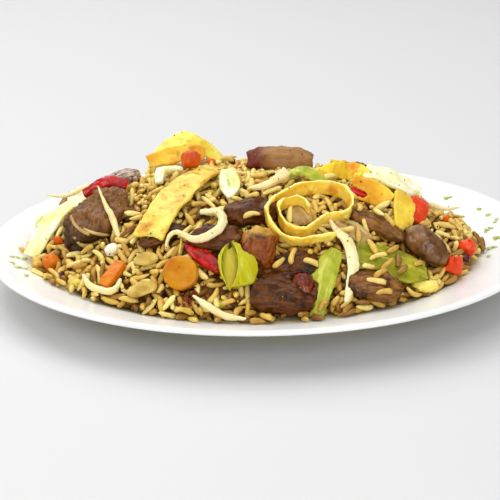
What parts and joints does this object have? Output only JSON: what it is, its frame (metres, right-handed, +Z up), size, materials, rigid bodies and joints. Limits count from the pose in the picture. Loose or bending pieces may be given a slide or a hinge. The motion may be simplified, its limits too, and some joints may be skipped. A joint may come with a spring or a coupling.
{
  "type": "plate of nasi goreng",
  "caption": "Fried rice heaped on a round white dinner plate, with strips of omelette, browned meat, mushroom, leek, onion, bean sprouts, carrot and red pepper.",
  "frame": {"origin": "middle of the plate's foot ring, on the surface it stands on", "axes": "+Z up, -Y towards the diner, +X to the diner's right"},
  "size_m": [0.27, 0.27, 0.0682],
  "materials": {
    "glaze": "glossy white glaze",
    "fried_rice": "oily cooked grains, pale to brown with sauce",
    "omelette": "soft and moist, browned in places",
    "meat": "browned, moist",
    "dark_meat": "nearly black with sauce, glossy",
    "mushroom": "smooth and moist",
    "pale_mushroom": "smooth and moist",
    "leek": "wet ribbed leaf",
    "onion": "clear and wet",
    "sprout": "juicy and smooth",
    "carrot": "cooked, moist",
    "red_pepper": "shiny skin"
  },
  "bodies": {
    "root": {"meat_left": "meat", "meat_back_left": "meat", "meat_top": "meat", "meat_middle": "dark_meat", "meat_under_sprout": "dark_meat", "meat_centre": "meat", "meat_under_strip": "meat", "meat_front_upper": "dark_meat", "meat_front_red": "meat", "meat_front_lower": "dark_meat", "meat_front_right": "meat", "meat_strip_right": "dark_meat", "meat_back": "meat", "meat_back_right": "dark_meat", "mushroom_right": "mushroom", "mushroom_slice_upper": "pale_mushroom", "mushroom_slice_lower": "pale_mushroom", "carrot_slice": "carrot", "carrot_baton": "carrot", "carrot_dice_top": "carrot", "carrot_dice_left": "carrot", "carrot_dice_back": "carrot", "pepper_back_left": "red_pepper", "pepper_front": "red_pepper", "pepper_centre_right": "red_pepper", "pepper_right": "red_pepper", "pepper_dice_right": "red_pepper", "pepper_dice_front": "red_pepper", "pepper_back": "red_pepper", "leek_leaf_right": "leek", "leek_front": "leek", "leek_top": "leek", "leek_cup_front": "leek", "leek_slice_top": "leek", "leek_ring_left": "leek", "leek_back": "leek", "onion_strip_left": "onion", "onion_back_left": "onion", "onion_in_ring": "onion", "onion_right": "onion", "omelette_strip": "omelette", "omelette_ring": "omelette", "omelette_band_left": "omelette", "omelette_loop_left": "omelette", "omelette_fold_back": "omelette", "omelette_band_right": "omelette", "omelette_sheet_right": "omelette", "omelette_flap_right": "omelette", "omelette_back": "omelette", "sprout_curl": "sprout", "sprout_right": "sprout", "sprout_head_top": "sprout", "sprout_front": "sprout", "sprout_lower_left": "sprout", "sprout_tail_left": "sprout", "sprout_point_left": "sprout", "sprout_tail_right": "sprout", "sprout_back": "sprout", "rice": "fried_rice", "plate": "glaze"}
  },
  "joints": []
}
